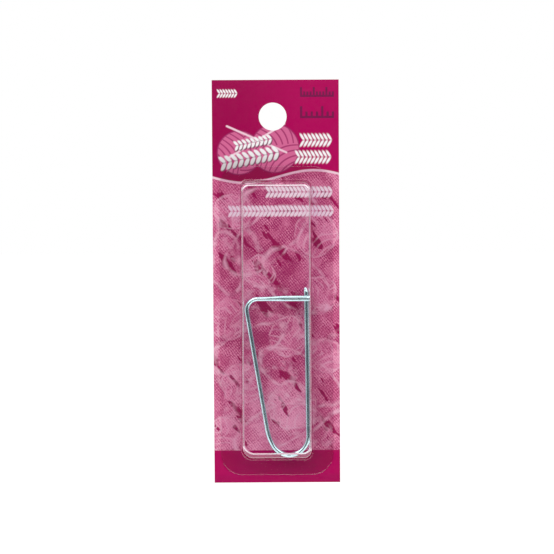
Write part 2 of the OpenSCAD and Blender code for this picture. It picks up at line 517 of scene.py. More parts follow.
@dataclass
class PrintedCard:
    """The backing card, whose print is drawn by its material around the CAD board.

    A tuple of two numbers says from where to where a change goes, and two more give the low and the high
    value that it goes between. Turns are in radians.
    """

    inks: Inks = Inks()
    # Between these depths under a face, the cut edge's colour turns into the face's own
    print_depth: tuple = (0.05, 0.02)
    middle_x: float = 0.8
    wave_mid: float = -17.0
    wave_swing: float = 1.75
    wave_length: float = 39.0
    wave_zero: float = 1.75
    wave_line: float = 0.66
    wave_soft: float = 0.12
    field_soft: float = 0.1
    footer_top: float = -95.3
    footer_soft: float = 0.08
    # Where the footer's painted shade in the middle gives way towards its sides and lower rim, and where the
    # rim's painted shade comes in
    footer_across: tuple = (7.5, 17.5)
    footer_down: tuple = (-101.0, -103.4)
    footer_foot: tuple = (-101.5, -103.0)
    # Along X, where the header's painted shade turns into its painted light
    header_shade_to_light: tuple = (-14.0, 12.0)
    row_shine: tuple = (-14.5, -9.0)
    # How far a raised row's shade lies along X and Z
    row_shift: tuple = (0.22, -0.3)
    groove_ink: float = 0.75
    rulers: tuple = (
        Motif(12.6, 6.9, {"Length": 9.0, "Height": 2.8, "Line": 0.56}),
        Motif(12.6, 1.2, {"Length": 9.0, "Height": 3.4, "Pitch": 1.5, "Line": 0.64}),
    )
    emblem: tuple = (
        Motif(-9.6, -10.2, {"Radius": 6.2, "Strands": 4.0, "Line": 0.3}, 0.4),
        Motif(0.6, -9.0, {"Radius": 6.9, "Strands": 4.0, "Line": 0.3}, 2.2),
    )
    needles: tuple = (
        Motif(-4.6, -6.4, {"Length": 19.0, "Width": 0.55}, radians(-24)),
        Motif(-4.6, -6.8, {"Length": 19.0, "Width": 0.55}, radians(31)),
    )
    raised_rows: tuple = (
        Motif(-5.3, -7.2, {"Length": 10.8, "Height": 2.7, "Pitch": 1.2}, radians(11)),
        Motif(-6.2, -11.6, {"Length": 17.0, "Height": 4.0, "Pitch": 1.7}, radians(11)),
    )
    header_rows: tuple = (
        Motif(-12.6, 6.6, {"Length": 5.6, "Height": 2.3, "Pitch": 0.8, "Soft": 0.1}),
        Motif(12.7, -6.7, {"Length": 8.8, "Height": 3.7, "Pitch": 1.1}),
        Motif(11.9, -11.5, {"Length": 9.9, "Height": 3.7, "Pitch": 1.1}),
    )
    field_rows: tuple = (
        Motif(7.8, -21.4, {"Length": 18.7, "Height": 3.2, "Pitch": 1.1, "Fullness": 0.42}),
        Motif(2.6, -26.8, {"Length": 29.7, "Height": 3.2, "Pitch": 1.1, "Fullness": 0.42}),
    )
    # X, Z, radius and turn of the field's yarn balls
    balls: tuple = (
        (-11.5, -27.0, 5.2, 0.5), (12.0, -33.5, 6.0, 2.1), (-4.5, -44.0, 4.6, 1.2), (13.5, -50.0, 4.4, 0.2),
        (-12.5, -57.5, 5.6, 2.6), (4.0, -63.0, 5.4, 0.9), (14.8, -68.0, 5.0, 1.8), (-9.5, -76.0, 5.8, 0.1),
        (5.0, -82.5, 6.8, 2.4), (-14.5, -90.5, 4.8, 1.5),
    )
    # X, Z, both radii and turn of the loose strands, the thin ones and the broad ones
    strands: tuple = (
        (-2.0, -35.0, 14.0, 6.5, 0.7), (6.5, -47.0, 11.0, 7.0, 2.3), (-8.0, -66.0, 12.0, 5.0, 0.5),
        (8.0, -74.5, 13.0, 6.0, 2.6), (0.0, -89.0, 12.5, 5.5, 0.4), (-13.5, -42.0, 9.0, 4.0, 1.7),
        (15.5, -92.0, 8.0, 4.5, 1.1), (2.0, -24.0, 10.0, 3.6, 3.0),
    )
    broad_strands: tuple = (
        (-3.5, -79.0, 11.0, 5.0, 0.7), (7.5, -86.5, 10.0, 4.2, 2.5), (-12.0, -68.0, 8.0, 4.6, 1.3),
        (14.0, -59.0, 7.5, 4.4, 0.5), (1.0, -53.0, 9.0, 4.0, 2.9), (-9.0, -36.0, 8.5, 4.0, 2.2),
    )
    weave: Motif = Motif(0.0, 0.0, {"Pitch": 0.61, "Waver": 1.1}, radians(38))
    wander: float = 3.4
    broken: Mottle = Mottle(0.3, 3.0, 0.6, (0.38, 0.6), (0.15, 1.0))
    patches: Mottle = Mottle(0.2, 4.0, 0.6, (0.47, 0.55), (-0.09, 0.07))
    broad_gaps: Mottle = Mottle(0.5, 3.0, taken=(0.4, 0.6))
    # The width and the softness of both kinds of strand
    thin_line: tuple = (0.5, 0.3)
    broad_line: tuple = (1.5, 0.4)
    contrast: tuple = (0.34, 0.62, 0.5, 1.0)
    # Where the deep, the middle and the pale ink of the field come in
    tone_stops: tuple = (0.12, 0.5, 0.9)
    # Within the bubble's width the field is painted darker higher up and paler lower down: painted shade,
    # then painted light
    bubble_shading_across: tuple = (13.0, 6.0)
    bubble_shading_down: tuple = (-68.0, -84.0, -0.12, 0.17)
    stroke_turn: float = radians(-52)
    # The dark strokes' length, width and depth
    stroke_size: tuple = (9.5, 3.4, 1.0)
    stroke_across: tuple = (12.0, 8.0)
    stroke_up: tuple = (-60.0, -50.0, 0.0, 0.032)
    stroke_range: tuple = (0.611, 0.636, 0.0, 0.94)
    paper_tone: Mottle = Mottle(2.2, 3.0, 0.6, (0.35, 0.75), (0.0, 0.1))
    back_fleck: Mottle = Mottle(2400.0, 3.0, 0.7, (0.42, 0.7), (0.0, 0.75))
    edge_fleck: Mottle = Mottle(2400.0, 3.0, 0.7, (0.4, 0.7), (0.0, 0.5))
    gloss: Mottle = Mottle(500.0, given=(0.15, 0.22))
    # Plain noise: its scale and detail, and its roughness where that isn't the usual one
    fibre: tuple = (900.0, 4.0, 0.65)
    calm_cloud: tuple = (0.22, 2.0)
    tone_cloud: tuple = (0.12, 3.0)
    stroke_cloud: tuple = (1.0, 2.2, 0.55)

    def __post_init__(self) -> None:
        """Makes the material, and the shapes that are printed in several places."""
        self.face = PrintFace("printed_board")
        self.row = make_stitch_row()
        self.ball = make_yarn_ball()

    def dress(self) -> None:
        """Gives the CAD board its printed material."""
        self.finish_board()
        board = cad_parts["backing_card"]
        for slot in board.material_slots:
            slot.material = self.face.material

    def finish_board(self) -> None:
        """Finishes the print, the board's grey back and its pale cut edges."""
        face, inks = self.face, self.inks
        artwork = self.draw_artwork()
        board = face.blend(face.mottle(face.place, self.back_fleck), inks.board, inks.board_fleck)
        cut = face.blend(face.mottle(face.place, self.edge_fleck), inks.cut_edge, inks.board)
        low, high = node_box("backing_card")
        on_face = face.ramp(face.y, *(low.y + depth for depth in self.print_depth))
        on_back = face.ramp(face.y, *(high.y - depth for depth in self.print_depth))
        rough_board, fibre_board, fibre_face = 0.85, 0.6, 0.06
        face.set({
            "Base Color": face.blend(on_face, face.blend(on_back, cut, board), artwork),
            "Roughness": face.between(on_face, rough_board, face.mottle(face.place, self.gloss)),
            "Specular IOR Level": 0.22,
        })
        fibre = face.noise(face.place, *self.fibre) * face.between(on_face, fibre_board, fibre_face)
        face.emboss(fibre, strength=0.35, distance=0.00003)

    def draw_artwork(self) -> Value:
        """Draws the whole print: header, wave, field with its two rows, and footer.

        Returns:
            The print's colour.
        """
        face, inks = self.face, self.inks
        phase = (face.x - self.wave_zero) * (2 * pi / self.wave_length)
        below_wave = face.math("SINE", phase) * self.wave_swing + self.wave_mid - face.z
        in_field = face.ramp(below_wave, -self.field_soft, self.field_soft)
        colour = face.blend(in_field, self.draw_header(), self.draw_field())
        colour = face.blend(face.stamp(self.row, *self.field_rows), colour, inks.row_pink)
        half_line = self.wave_line / 2
        on_line = face.ramp(abs(below_wave), half_line + self.wave_soft, half_line - self.wave_soft)
        colour = face.blend(on_line, colour, inks.pale_pink)
        in_footer = face.ramp(face.z, self.footer_top + self.footer_soft, self.footer_top - self.footer_soft)
        colour = face.blend(in_footer, colour, self.draw_footer())
        return face.blend(face.mottle(face.flat, self.paper_tone), colour, inks.white, "SOFT_LIGHT")

    def draw_header(self) -> Value:
        """Draws the header: solid ink with painted shade at left and painted light at right, rulers, a yarn
        ball emblem and stitch rows.

        Returns:
            The header's colour.
        """
        face, inks = self.face, self.inks
        # The solid ink, with painted shade at the left and painted light at the right
        colour = face.blend(face.ramp(face.x, *self.header_shade_to_light), inks.header_shaded_left, inks.header_lit_right)
        colour = face.blend(face.stamp(make_ruler(), *self.rulers), colour, inks.dark)
        for ball in self.emblem:
            colour = face.blend(face.stamp(self.ball, ball, output="Inside"), colour, inks.emblem)
            groove = face.stamp(self.ball, ball, output="Strand") * self.groove_ink
            colour = face.blend(groove, colour, inks.emblem_shade)
        colour = face.blend(face.stamp(make_bar(), *self.needles), colour, inks.pale_pink)
        white = face.blend(face.ramp(face.z, *self.row_shine), inks.row_foot, inks.white)
        for row in self.raised_rows:
            shade = replace(row, x=row.x + self.row_shift[0], z=row.z + self.row_shift[1])
            colour = face.blend(face.stamp(self.row, shade), colour, inks.row_shade)
            colour = face.blend(face.stamp(self.row, row), colour, white)
        return face.blend(face.stamp(self.row, *self.header_rows), colour, inks.white)

    def draw_field(self) -> Value:
        """Draws the tonal field: printed twill with yarn balls, loose strands and dark strokes.

        Returns:
            The field's colour.
        """
        face, outline = self.face, self.inks.outline
        drift = face.get("TexNoise", {"Vector": face.flat, "Scale": 0.16, "Detail": 1.5}, "Color")
        own = (face.x, face.z)
        spot = tuple((part - 0.5) * self.wander + place for part, place in zip(face.split(drift), own))
        winding = {"Strands": 3.0, "Line": 0.36}
        balls = [Motif(x, z, {"Radius": radius, **winding}, turn) for x, z, radius, turn in self.balls]
        disc = face.stamp(self.ball, *balls, spot=spot, output="Inside")
        groove = face.stamp(self.ball, *balls, spot=spot, output="Strand")
        oval = make_oval()
        thin = self.draw_strands(oval, self.strands, self.thin_line, spot)
        broad = self.draw_strands(oval, self.broad_strands, self.broad_line, spot)
        colour = self.dye_cloth(disc)
        inputs = {"Vector": face.flat, "Rotation": (0, 0, self.stroke_turn), "Scale": self.stroke_size}
        strokes = face.noise(face.get("Mapping", inputs, vector_type="TEXTURE"), *self.stroke_cloud)
        more = face.ramp(abs(face.x), *self.stroke_across) * face.ramp(face.z, *self.stroke_up)
        colour = face.blend(face.ramp(more + strokes, *self.stroke_range), colour, self.inks.blotch)
        broad_ink, groove_ink, line_ink = 0.4, 0.6, 0.9
        colour = face.blend(broad * broad_ink * face.mottle(face.flat, self.broad_gaps), colour, outline)
        lines = face.highest(groove * groove_ink, thin) * face.mottle(face.flat, self.broken)
        return face.blend(lines * line_ink, colour, outline)

    def draw_strands(self, oval: Tree, table: tuple, line: tuple, spot: tuple) -> Value:
        """Draws loose strands of one kind.

        Args:
            oval: The oval's node group.
            table: The strands' places, radii and turns.
            line: Their width and softness.
            spot: The X and Z to read them at.

        Returns:
            Their mask.
        """
        width, soft = line
        motifs = [
            Motif(x, z, {"Radius X": wide, "Radius Z": tall, "Line": width, "Soft": soft}, turn)
            for x, z, wide, tall, turn in table
        ]
        return self.face.stamp(oval, *motifs, spot=spot)

    def dye_cloth(self, disc: Value) -> Value:
        """Draws the field's cloth, with paler and deeper places.

        Args:
            disc: Where the yarn balls are.

        Returns:
            The cloth's colour.
        """
        face, inks = self.face, self.inks
        cloud_share, ball_share, ball_calm = 0.7, 0.15, -0.06
        thread = face.stamp(make_weave(), self.weave)
        contrast = face.ramp(face.noise(face.flat, *self.calm_cloud) + disc * ball_calm, *self.contrast)
        tone = (thread - 0.5) * contrast + 0.5
        tone = tone + (face.noise(face.flat, *self.tone_cloud) - 0.5) * cloud_share
        tone = disc * ball_share + (tone + face.mottle(face.flat, self.patches))
        # Painted shade higher up and painted light lower down, within the bubble's width
        in_middle = face.ramp(abs(face.x - self.middle_x), *self.bubble_shading_across)
        tone = tone + in_middle * face.ramp(face.z, *self.bubble_shading_down)
        scale = face.add("ValToRGB", {0: tone})
        stops = scale.color_ramp.elements
        deep, middle, pale = self.tone_stops
        for number, position, ink in ((0, deep, inks.field_deep), (1, pale, inks.field_pale)):
            stops[number].color = ink
            stops[number].position = position
        stops.new(middle).color = inks.field_mid
        return Value(face, scale.outputs[0])

    def draw_footer(self) -> Value:
        """Draws the lower band: painted shade in its middle and along its lower rim, and a redder ink towards
        its sides.

        Returns:
            The band's colour.
        """
        face, inks = self.face, self.inks
        to_side = face.ramp(abs(face.x - self.middle_x), *self.footer_across)
        to_edge = face.highest(to_side, face.ramp(face.z, *self.footer_down))
        # Painted shade along the lower rim
        rim = face.blend(face.ramp(face.z, *self.footer_foot), inks.footer_edge, inks.footer_shaded_low)
        return face.blend(to_edge, inks.footer_shaded_mid, rim)


@dataclass
class ClearBlister:
    """The thermoformed bubble with its sealed flange, as one shell."""

    sheet: float = 0.28
    card_gap: float = 0.02
    foot_round: float = 0.25
    foot_steps: int = 4
    side_draft: float = 0.3
    end_draft: float = 0.7
    wall_shares: tuple = (0.08, 0.5, 0.92, 1.0)
    side_round: float = 0.24
    end_round: float = 1.0
    front_lift: float = 0.48
    edge_depth: float = 1.2
    # The bevelled front edge, as shares of its way inwards and forwards
    front_edge: tuple = (
        (0.01, 0.08), (0.04, 0.16), (0.09, 0.24), (0.16, 0.32), (0.8, 0.86), (0.86, 0.91), (0.92, 0.955),
        (0.97, 0.985), (1.0, 1.0),
    )
    flat_margin: float = 0.5
    # The radii of the bubble's corners: both upper ones, the lower left one and the lower right one
    bubble_corners: tuple = (1.8, 3.0, 2.1)
    flange_corner: float = 6.0
    bead_width: float = 0.2
    bead_rise: float = 0.022
    bubble_width: float = 20.35
    bubble_height: float = 79.9
    bubble_lift: float = 0.3
    corner_steps: int = 10
    tint: tuple = (0.985, 0.988, 0.99, 1.0)
    wall_light: tuple = (0.88, 0.74, 0.81, 1.0)
    inner_light: tuple = (0.96, 0.99, 0.99, 1.0)
    shade: tuple = (0.92, 0.77, 0.9, 1.0)
    edge_shade: tuple = (0.97, 0.88, 0.94, 1.0)
    rim_shade: tuple = (0.99, 0.98, 0.985, 1.0)
    rim_share: float = 0.7
    fade_top: float = -97.0
    fade_low: float = -103.0
    # The ripple's scale, detail and roughness
    ripple: tuple = (90.0, 2.0, 0.4)
    haze: Mottle = Mottle(220.0, 3.0, 0.6, (0.4, 0.75), (0.015, 0.06))
    edge_on_range: tuple = (0.3, 1.0)
    mesh: Mesh | None = field(default=None, init=False)

    def outline(self, width: float, height: float, radii: tuple, y: float, lift: float = 0.0) -> list:
        """Draws a rounded rectangle that stands in the X-Z plane round the flange's middle.

        Args:
            width: Its width.
            height: Its height.
            radii: The radii of both its upper corners, of the lower left one and of the lower right one.
            y: Its depth.
            lift: How far above the flange's middle it stands.

        Returns:
            Its edges.
        """
        middle = sum(node_box("blister"), Vector()) / 2 + Vector((0, 0, lift))
        upright = Matrix.Translation((middle.x, y, middle.z)) @ Matrix.Rotation(pi / 2, 4, "X")
        spread = upright @ Matrix.Diagonal((width, height, 1.0, 1.0))
        square = bmesh.ops.create_grid(self.mesh, x_segments=1, y_segments=1, size=0.5, matrix=spread)
        upper = [v for v in square["verts"] if v.co.z > middle.z]
        lower = [v for v in square["verts"] if v not in upper]
        left = [v for v in lower if v.co.x < middle.x]
        right = [v for v in lower if v not in left]
        for radius, chosen in zip(radii, (upper, left, right)):
            bmesh.ops.bevel(
                self.mesh, geom=chosen, offset=radius, segments=self.corner_steps, affect="VERTICES",
                profile=0.5, material=-1, offset_type="OFFSET",
            )
        face = max(self.mesh.faces, key=lambda f: f.calc_area())
        edges = list(face.edges)
        bmesh.ops.delete(self.mesh, geom=[face], context="FACES_ONLY")
        return edges

    def grow(self, edges: list, across: float, up: float, y: float, rise: float = 0.0) -> list:
        """Raises a ring of edges to a new depth and size, with faces behind it.

        Args:
            edges: The ring.
            across: The new ring's width.
            up: Its height.
            y: Its depth.
            rise: How far its middle lies above the old ring's.

        Returns:
            The new ring's edges.
        """
        made = bmesh.ops.extrude_edge_only(self.mesh, edges=edges)["geom"]
        verts = [item for item in made if isinstance(item, bmesh.types.BMVert)]
        low, high = (Vector([end(v.co[i] for v in verts) for i in range(3)]) for end in (min, max))
        middle = (low + high) / 2
        share = (across / (high.x - low.x), 1.0, up / (high.z - low.z))
        bmesh.ops.scale(self.mesh, vec=share, space=Matrix.Translation(-middle), verts=verts)
        bmesh.ops.translate(self.mesh, vec=(0, y - middle.y, rise), verts=verts)
        return [item for item in made if isinstance(item, bmesh.types.BMEdge)]

    def build(self) -> Object:
        """Builds the shell and gives it its clear material.

        Returns:
            The blister.
        """
        low, high = node_box("blister")
        flange_y = -self.card_gap - self.sheet
        wide, tall = high.x - low.x, high.z - low.z
        self.mesh = mesh = bmesh.new()
        rim = self.outline(wide, tall, (self.flange_corner,) * 3, flange_y)
        for edge in rim:
            edge.smooth = False
        radii = [corner + self.foot_round for corner in self.bubble_corners]
        foot_wide = self.bubble_width + 2 * self.foot_round
        foot_tall = self.bubble_height + 2 * self.foot_round
        foot = self.outline(foot_wide, foot_tall, radii, flange_y, self.bubble_lift)
        for steps_in, y in ((2, flange_y - self.bead_rise), (4, flange_y)):
            inset = steps_in * self.bead_width
            rim = self.grow(rim, wide - inset, tall - inset, y)
        foot_out = self.grow(foot, foot_wide + self.flat_margin, foot_tall + self.flat_margin, flange_y)
        bmesh.ops.triangle_fill(mesh, edges=rim + foot_out, use_beauty=True, normal=(0, -1, 0))
        bmesh.ops.holes_fill(mesh, edges=self.raise_bubble(foot, flange_y, low.y), sides=0)
        bmesh.ops.remove_doubles(mesh, verts=mesh.verts, dist=1e-5)
        bmesh.ops.recalc_face_normals(mesh, faces=mesh.faces)
        lead = min(mesh.faces, key=lambda f: f.calc_center_median().y)
        if lead.normal.y > 0:
            bmesh.ops.reverse_faces(mesh, faces=mesh.faces)
        piece = add_piece("blister_shell", mesh, self.make_material())
        wall = piece.modifiers.new("wall", "SOLIDIFY")
        wall.thickness = self.sheet * MM
        wall.offset = -1.0
        wall.use_even_offset = True
        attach(piece, Body.BLISTER.value)
        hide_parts("blister")
        return piece

    def raise_bubble(self, ring: list, flange_y: float, front: float) -> list:
        """Raises the bubble from its foot: the foot's rounding, the walls and the bevelled front edge.

        Args:
            ring: The foot's edges.
            flange_y: The flange's depth.
            front: The bubble front's depth.

        Returns:
            The edges of the last ring, on the front.
        """
        width, height = self.bubble_width, self.bubble_height
        for step in range(1, self.foot_steps + 1):
            angle = pi / 2 * step / self.foot_steps
            out = 2 * self.foot_round * (1 - sin(angle))
            y = flange_y - self.foot_round * (1 - cos(angle))
            ring = self.grow(ring, width + out, height + out, y)
        wall_top = front + self.edge_depth
        wall_foot = flange_y - self.foot_round
        rings = [
            (self.side_draft * share, self.end_draft * share, wall_foot + (wall_top - wall_foot) * share)
            for share in self.wall_shares
        ]
        rings += [
            (
                self.side_draft + self.side_round * inwards, self.end_draft + self.end_round * inwards,
                wall_top - self.edge_depth * forwards,
            )
            for inwards, forwards in self.front_edge
        ]
        end = 0.0
        for side, next_end, y in rings:
            rise = self.front_lift * (next_end - end) / (self.end_draft + self.end_round)
            end = next_end
            ring = self.grow(ring, width - 2 * side, height - 2 * end, y, rise)
        side += self.flat_margin
        end += self.flat_margin
        return self.grow(ring, width - 2 * side, height - 2 * end, front)

    def make_material(self) -> Material:
        """Makes the clear sheet, which lamp light and reflected rays pass straight through.

        Returns:
            The finished material.
        """
        sheet = MaterialTree("clear_sheet")
        place = sheet.here()
        sheet.set({
            "Base Color": self.tint,
            "Transmission Weight": 1.0,
            "IOR": 1.5,
            "Roughness": sheet.mottle(place, self.haze),
        })
        sheet.emboss(sheet.noise(place, *self.ripple), strength=0.12, distance=0.0004)
        edge_on = sheet.get("LayerWeight", {"Blend": 0.35}, "Facing")
        shade = sheet.blend(sheet.ramp(edge_on, *self.edge_on_range), self.shade, self.edge_shade)
        height = sheet.split(place)[2]
        near_rim = sheet.ramp(height, self.fade_top * MM, self.fade_low * MM, high=self.rim_share)
        shade = sheet.blend(near_rim, shade, self.rim_shade)
        in_wall = sheet.path("Transmission Depth") < TWICE
        in_shadow = sheet.path("Is Shadow Ray")
        passing = sheet.blend(in_wall, self.inner_light, self.wall_light)
        window = sheet.get("BsdfTransparent", {"Color": sheet.blend(in_shadow, passing, shade)})
        straight = sheet.highest(in_shadow, sheet.path("Glossy Depth") > ONCE)
        sheet.show_mix(straight, sheet.shader.outputs[0], window)
        return sheet.material


class WireBender:
    """Draws a wire by pushing a ring of its section along straights and bends."""

    def __init__(self, radius: float, sides: int, start: Vector, heading: Vector) -> None:
        """Starts a wire at a point.

        Args:
            radius: The wire's radius.
            sides: How many corners its section has.
            start: The first section's centre.
            heading: The direction that the wire sets out in.
        """
        self.mesh = bmesh.new()
        self.centre = start.copy()
        self.heading = heading.normalized()
        self.run = 0.0
        self.across = self.mesh.verts.layers.float_vector.new("wire_grain")
        turn = self.heading.to_track_quat("Z", "Y").to_matrix().to_4x4()
        self.verts = bmesh.ops.create_circle(
            self.mesh, cap_ends=False, segments=sides, radius=radius, matrix=Matrix.Translation(start) @ turn,
        )["verts"]
        self.ring = list({edge for vert in self.verts for edge in vert.link_edges})
        for number, vert in enumerate(self.verts):
            angle = 2 * pi * number / sides
            vert[self.across] = Vector((cos(angle), sin(angle), 0.0))
        self.first = list(self.ring)

    def take(self, made: list, length: float) -> None:
        """Makes new geometry the last section, and writes how far along the wire it lies.

        Args:
            made: The operator's result.
            length: The distance from the section before.
        """
        self.ring = [item for item in made if isinstance(item, bmesh.types.BMEdge)]
        self.verts = [item for item in made if isinstance(item, bmesh.types.BMVert)]
        self.run += length
        for vert in self.verts:
            place = vert[self.across]
            vert[self.across] = Vector((place.x, place.y, self.run))

    def move_to(self, target: Vector) -> None:
        """Moves the last section's centre to a point."""
        bmesh.ops.translate(self.mesh, vec=target - self.centre, verts=self.verts)
        self.centre = target.copy()

    def step(self, length: float) -> None:
        """Draws one straight stretch of that length."""
        self.take(bmesh.ops.extrude_edge_only(self.mesh, edges=self.ring)["geom"], length)
        self.move_to(self.centre + self.heading * length)

    def straight(self, length: float, steps: int = 1) -> None:
        """Draws a straight run in equal stretches."""
        for _ in range(steps):
            self.step(length / steps)

    def bend(self, pivot: Vector, axis: Vector, angle: float, steps: int) -> None:
        """Draws a bend round a pivot.

        Args:
            pivot: The bend's centre.
            axis: The axis that it turns about.
            angle: How far it turns, in radians.
            steps: How many sections it takes.
        """
        part = angle / steps
        turn = Matrix.Rotation(part, 3, axis)
        length = abs(part) * (self.centre - pivot).length
        for _ in range(steps):
            made = bmesh.ops.spin(
                self.mesh, geom=self.ring, cent=pivot, axis=axis, angle=part, steps=1, use_duplicate=False,
            )["geom_last"]
            self.take(made, length)
            self.centre = pivot + turn @ (self.centre - pivot)
            self.heading = turn @ self.heading

    def turn_section(self, turn: Matrix) -> None:
        """Turns the last section about its centre."""
        bmesh.ops.rotate(self.mesh, cent=self.centre, matrix=turn, verts=self.verts)

    def press(self, share_y: float, share_z: float) -> None:
        """Presses the last section by shares of its size.

        Args:
            share_y: What is left across the section, square to Z.
            share_z: What is left along Z.
        """
        up = Vector((0, 0, 1))
        side = self.heading.cross(up).normalized()
        space = Matrix((side, self.heading, up)).to_4x4() @ Matrix.Translation(-self.centre)
        bmesh.ops.scale(self.mesh, vec=(share_y, 1.0, share_z), space=space, verts=self.verts)

    def shrink(self, share: float) -> None:
        """Scales the last section about its centre."""
        bmesh.ops.scale(self.mesh, vec=(share,) * 3, space=Matrix.Translation(-self.centre), verts=self.verts)

    def round_end(self, radius: float, steps: int) -> None:
        """Closes the wire with a rounded end.

        Args:
            radius: The rounding's radius.
            steps: How many sections it takes.
        """
        flat_share = 0.35
        before = 0.0
        for number in range(1, steps + 1):
            angle = pi / 2 * number / (steps + flat_share)
            self.step(radius * (sin(angle) - sin(before)))
            self.shrink(cos(angle) / cos(before))
            before = angle
        bmesh.ops.holes_fill(self.mesh, edges=self.ring, sides=0)

    def finish(self) -> Mesh:
        """Closes the first section flat, with a sharp rim that stays hidden in the join.

        Returns:
            The finished bmesh.
        """
        for edge in self.first:
            edge.smooth = False
        bmesh.ops.holes_fill(self.mesh, edges=self.first, sides=0)
        bmesh.ops.recalc_face_normals(self.mesh, faces=self.mesh.faces)
        return self.mesh


@dataclass(frozen=True)
class NickelPlate:
    """Bright nickel on drawn steel wire."""

    colour: tuple = srgb(214, 234, 238)
    shadow: tuple = srgb(186, 208, 214)
    cloud: Mottle = Mottle(260.0, taken=(0.35, 0.7), given=(0.0, 0.8))
    grain_across: float = 9.0
    grain_along: float = 0.35
    # The drawing lines' scale, detail and roughness
    lines: tuple = (1.0, 3.0, 0.6)
    line_range: tuple = (0.3, 0.75)
    roughness: tuple = (0.17, 0.24)

    def make(self) -> Material:
        """Makes the metal, with faint drawing lines along the wire.

        Returns:
            The finished material.
        """
        plate = MaterialTree("nickel_wire")
        along = plate.get("Attribute", output="Vector", attribute_name="wire_grain")
        scale = (self.grain_across, self.grain_across, self.grain_along)
        lines = plate.noise(plate.get("Mapping", {"Vector": along, "Scale": scale}), *self.lines)
        plate.set({
            "Base Color": plate.blend(plate.mottle(plate.here(), self.cloud), self.colour, self.shadow),
            "Roughness": plate.ramp(lines, *self.line_range, *self.roughness),
            "Metallic": 1.0,
        })
        plate.emboss(lines, strength=0.04, distance=0.00001)
        return plate.material


@dataclass
class WireHolder:
    """The holder: one wire, bent from the catch round to the pin, in two pieces: the frame and the pin."""

    wire: float = 1.35
    sides: int = 32
    spine_lean: float = radians(9.4)
    bow_lean: float = radians(29)
    loop_radius: float = 5.4
    bow_radius: float = 14.3
    shoulder_radius: float = 3.15
    flat_length: float = 5.1
    taper_length: float = 8.0
    taper_steps: int = 16
    flat_tilt: float = radians(-17)
    flat_thick: float = 0.85
    flat_tall: float = 1.65
    catch_bore: float = 0.755
    curl_steps: int = 20
    lip_length: float = 1.1
    lip_thick: float = 0.4
    lip_tall_share: float = 0.82
    tip_lean: float = radians(8)
    tip_bend: float = 6.0
    tip_radius: float = 0.48
    tip_steps: int = 4
    blend_from: float = 0.1
    finish: NickelPlate = NickelPlate()
    material: Material | None = field(default=None, init=False)

    def __post_init__(self) -> None:
        """Reads the wire's places from the frame."""
        self.radius = self.wire / 2
        loop_low, loop_high = node_box("spring_loop")
        spine_low, spine_high = node_box("spine")
        hook_low, hook_high = node_box("catch_hook")
        plane_y = (spine_low.y + spine_high.y) / 2
        loop_x = loop_high.x - self.radius - self.loop_radius
        self.loop = Vector((loop_x, plane_y, loop_low.z + self.radius + self.loop_radius))
        self.loop_foot = self.loop - Vector((0, 0, self.loop_radius))
        self.bar_z = node_box("shoulder_bend")[1].z - self.radius
        hook_out = (hook_high.y - hook_low.y) / 2
        self.pin = Vector((hook_high.x - hook_out, (hook_low.y + hook_high.y) / 2, self.bar_z))
        lean_in = Vector((cos(self.bow_lean), 0, sin(self.bow_lean)))
        self.bow = self.loop + lean_in * (self.bow_radius - self.loop_radius)
        spine_in = Vector((cos(self.spine_lean), 0, sin(self.spine_lean)))
        spine_foot = self.bow - spine_in * self.bow_radius
        spine_top_z = self.bar_z - self.shoulder_radius * (1 + sin(self.spine_lean))
        self.spine_length = (spine_top_z - spine_foot.z) / cos(self.spine_lean)
        spine_up = Vector((-sin(self.spine_lean), 0, cos(self.spine_lean)))
        self.shoulder = spine_foot + spine_up * self.spine_length + spine_in * self.shoulder_radius

    def build(self) -> list[Object]:
        """Builds the frame's piece and the pin's piece of the wire."""
        self.material = self.finish.make()
        return [self.build_frame(), self.build_pin()]

    def build_frame(self) -> Object:
        """Bends the wire from the loop's lowest point to the catch's lip.

        Returns:
            The fixed piece.
        """
        across = Vector((0, 1, 0))
        wire = WireBender(self.radius, self.sides, self.loop_foot, Vector((-1, 0, 0)))
        wire.bend(self.loop, across, pi / 2 - self.bow_lean, steps=20)
        wire.bend(self.bow, across, self.bow_lean - self.spine_lean, steps=8)
        wire.straight(self.spine_length, steps=8)
        wire.bend(self.shoulder, across, pi / 2 + self.spine_lean, steps=24)
        wire.straight(self.pin.x - self.flat_length - self.taper_length - self.shoulder.x, steps=2)
        self.press_flat(wire)
        self.curl_catch(wire)
        piece = add_piece("holder_wire", wire.finish(), self.material)
        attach(piece, Body.HOLDER.value)
        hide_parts("catch_hook", "cross_bar", "shoulder_bend", "spine", "lower_bend", "spring_loop")
        return piece

    def press_flat(self, wire: WireBender) -> None:
        """Flattens and tilts the wire in front of the pin, with its underside level.

        Args:
            wire: The wire, at the end of its round bar.
        """
        start = wire.centre.copy()
        flat_y = self.pin.y - self.catch_bore - self.flat_thick / 2
        flat = Vector((start.x, flat_y, self.bar_z - self.radius + self.flat_tall / 2))
        before = Vector((self.wire, self.wire))
        tilt = Matrix.Rotation(self.flat_tilt / self.taper_steps, 3, "X")
        for number in range(1, self.taper_steps + 1):
            share = number / self.taper_steps
            ease = share * share * (3 - 2 * share)
            wire.step(self.taper_length / self.taper_steps)
            place = start.lerp(flat, ease)
            wire.move_to(Vector((wire.centre.x, place.y, place.z)))
            section = Vector((self.wire, self.wire)).lerp(Vector((self.flat_thick, self.flat_tall)), ease)
            wire.press(section.x / before.x, section.y / before.y)
            before = section
            wire.turn_section(tilt)
        wire.straight(self.pin.x - wire.centre.x, steps=4)

    def curl_catch(self, wire: WireBender) -> None:
        """Curls the flattened wire round the pin and ends it in a lip behind.

        Args:
            wire: The wire, in front of the pin.
        """
        pivot = Vector((self.pin.x, self.pin.y, wire.centre.z))
        thick_share = (self.lip_thick / self.flat_thick) ** (1 / self.curl_steps)
        tall_share = self.lip_tall_share ** (1 / self.curl_steps)
        for _ in range(self.curl_steps):
            wire.bend(pivot, Vector((0, 0, 1)), pi / self.curl_steps, steps=1)
            wire.press(thick_share, tall_share)
        wire.straight(self.lip_length - self.lip_thick, steps=2)
        wire.round_end(self.lip_thick, steps=4)

